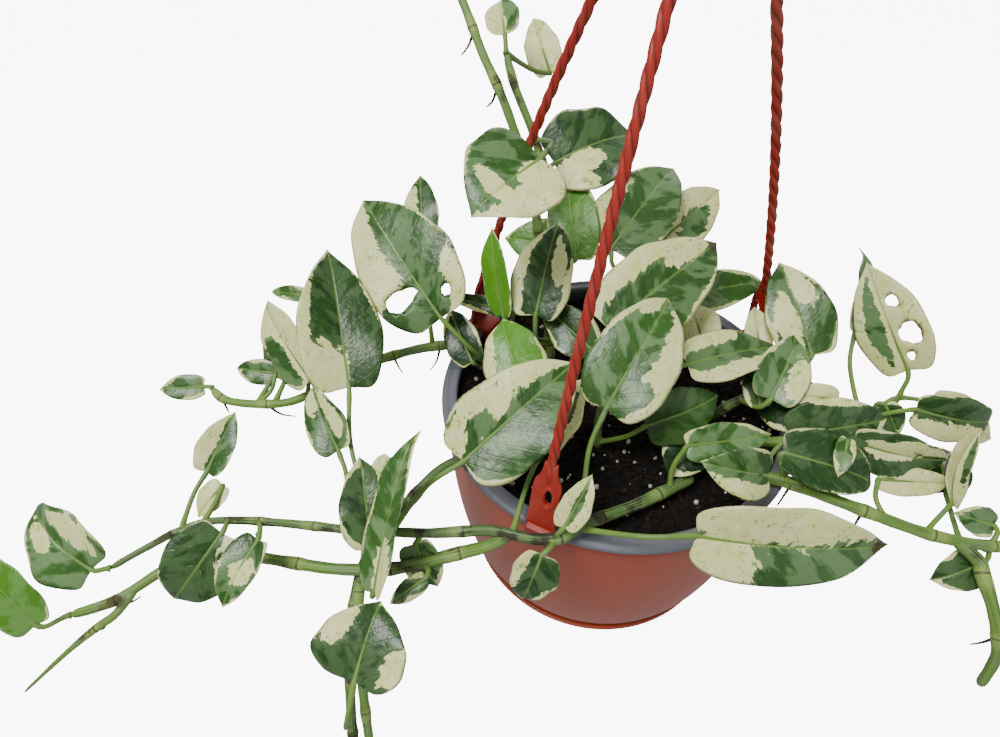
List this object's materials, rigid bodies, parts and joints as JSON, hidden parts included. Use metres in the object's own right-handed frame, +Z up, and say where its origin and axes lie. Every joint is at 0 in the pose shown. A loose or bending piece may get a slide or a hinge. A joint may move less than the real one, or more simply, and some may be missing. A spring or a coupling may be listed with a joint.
{
  "type": "hanging potted pothos",
  "caption": "Trailing variegated pothos in a round two-colour plastic bowl pot with saucer, hung by twisted clip-on hangers from a hook.",
  "frame": {"origin": "where the hanger's hook bears on whatever holds it up, at the top of the hook's inside", "axes": "+Z up, -Y towards the side the vines spill over and most leaves face, +X to the right seen from there"},
  "size_m": [0.4813, 0.3454, 0.4782],
  "materials": {
    "terracotta_plastic": "satin moulded plastic",
    "grey_plastic": "satin moulded plastic",
    "orange_red_plastic": "semi-gloss moulded plastic",
    "potting_mix": "rough, damp, dark potting mix",
    "stem_green": "smooth green plant stem",
    "stem_old": "striated grey-green plant stem",
    "leaf_green": "semi-gloss green leaf",
    "leaf_cream": "semi-gloss cream variegated leaf",
    "leaf_mixed": "semi-gloss green and cream leaf"
  },
  "bodies": {
    "root": {"drip_saucer": "terracotta_plastic", "hanger_front": "orange_red_plastic", "hanger_hook": "orange_red_plastic", "hanger_left": "orange_red_plastic", "hanger_right": "orange_red_plastic", "inner_pot": "grey_plastic", "leaf_back_cream": "leaf_cream", "leaf_back_scorched": "leaf_green", "leaf_centre_edge_on": "leaf_green", "leaf_centre_glossy": "leaf_green", "leaf_centre_large": "leaf_mixed", "leaf_centre_pointed": "leaf_mixed", "leaf_centre_torn_tip": "leaf_mixed", "leaf_centre_upright": "leaf_mixed", "leaf_crown_dark": "leaf_green", "leaf_crown_heart": "leaf_mixed", "leaf_drop_broad": "leaf_mixed", "leaf_drop_narrow": "leaf_mixed", "leaf_drop_rounded": "leaf_mixed", "leaf_far_left_end": "leaf_green", "leaf_far_left_long": "leaf_green", "leaf_far_right_arched": "leaf_green", "leaf_far_right_cream": "leaf_cream", "leaf_far_right_curved": "leaf_cream", "leaf_far_right_narrow": "leaf_mixed", "leaf_far_right_upright": "leaf_green", "leaf_front_large": "leaf_mixed", "leaf_front_twisted": "leaf_cream", "leaf_inner_bright": "leaf_green", "leaf_left_cream": "leaf_cream", "leaf_left_dark": "leaf_green", "leaf_left_far": "leaf_green", "leaf_left_hanging": "leaf_mixed", "leaf_left_largest": "leaf_mixed", "leaf_left_narrow": "leaf_mixed", "leaf_left_round": "leaf_green", "leaf_left_twin": "leaf_mixed", "leaf_lip_lower": "leaf_mixed", "leaf_lip_upper": "leaf_cream", "leaf_right_dark": "leaf_green", "leaf_right_folded": "leaf_mixed", "leaf_right_largest": "leaf_cream", "leaf_right_long": "leaf_mixed", "leaf_right_speckled": "leaf_mixed", "leaf_right_tall": "leaf_mixed", "leaf_top_young": "leaf_cream", "outer_bowl": "terracotta_plastic", "potting_soil": "potting_mix", "shoot_far_left": "stem_green", "stem_crown_centre": "stem_old", "stem_crown_right": "stem_old", "vine_back_rising": "stem_green", "vine_back_second": "stem_green", "vine_drop_left": "stem_old", "vine_front_lower": "stem_green", "vine_front_old": "stem_old", "vine_right": "stem_green", "vine_right_drop": "stem_green", "vine_right_upper": "stem_green", "vine_upper_left": "stem_green"}
  },
  "joints": []
}
